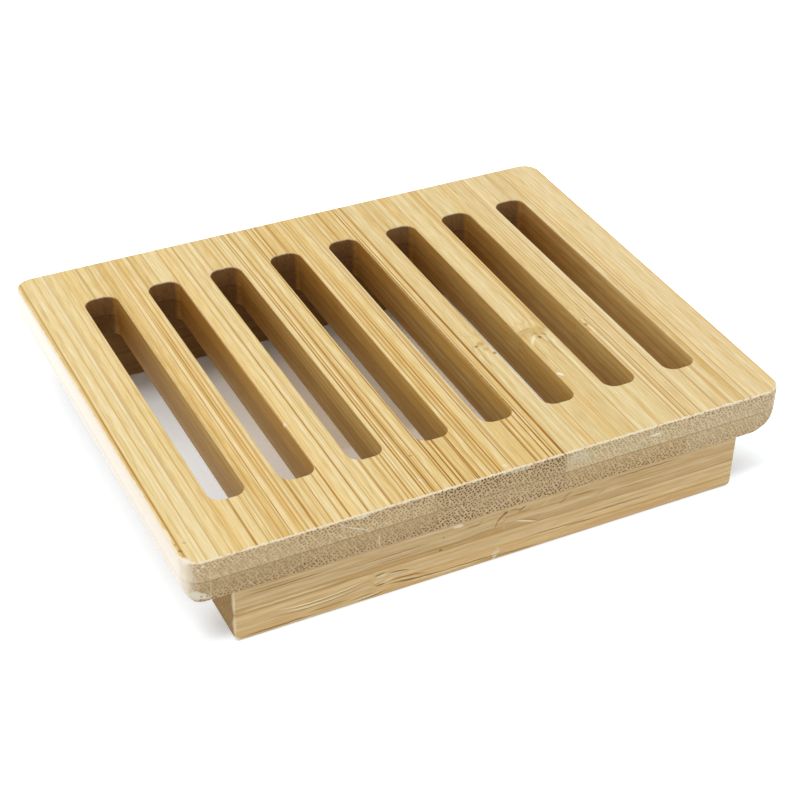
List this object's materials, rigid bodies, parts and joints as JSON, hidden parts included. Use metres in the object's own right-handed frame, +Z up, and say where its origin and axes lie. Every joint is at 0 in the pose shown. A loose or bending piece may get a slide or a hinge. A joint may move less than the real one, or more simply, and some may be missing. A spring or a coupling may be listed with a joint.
{
  "type": "soap dish",
  "caption": "Free-standing slatted soap dish of laminated bamboo: a flat board with lengthwise drain slots on two foot rails.",
  "frame": {"origin": "on the surface that the dish stands on, under the middle of the board", "axes": "+X along the foot rails, across the slots; +Y along the slots and the board's grain, away from the viewer; +Z up"},
  "size_m": [0.1106, 0.0884, 0.0196],
  "materials": {
    "board_top_bamboo": "sanded and oiled, honey yellow",
    "board_bottom_bamboo": "sanded and oiled, honey yellow",
    "foot_bamboo": "sanded and oiled, golden tan"
  },
  "bodies": {
    "root": {"top_strip_1": "board_top_bamboo", "top_strip_2": "board_top_bamboo", "top_strip_3": "board_top_bamboo", "top_strip_4": "board_top_bamboo", "top_strip_5": "board_top_bamboo", "bottom_strip_1": "board_bottom_bamboo", "bottom_strip_2": "board_bottom_bamboo", "bottom_strip_3": "board_bottom_bamboo", "bottom_strip_4": "board_bottom_bamboo", "bottom_strip_5": "board_bottom_bamboo", "front_foot_upper_strip": "foot_bamboo", "front_foot_lower_strip": "foot_bamboo", "rear_foot_upper_strip": "foot_bamboo", "rear_foot_lower_strip": "foot_bamboo"}
  },
  "joints": []
}
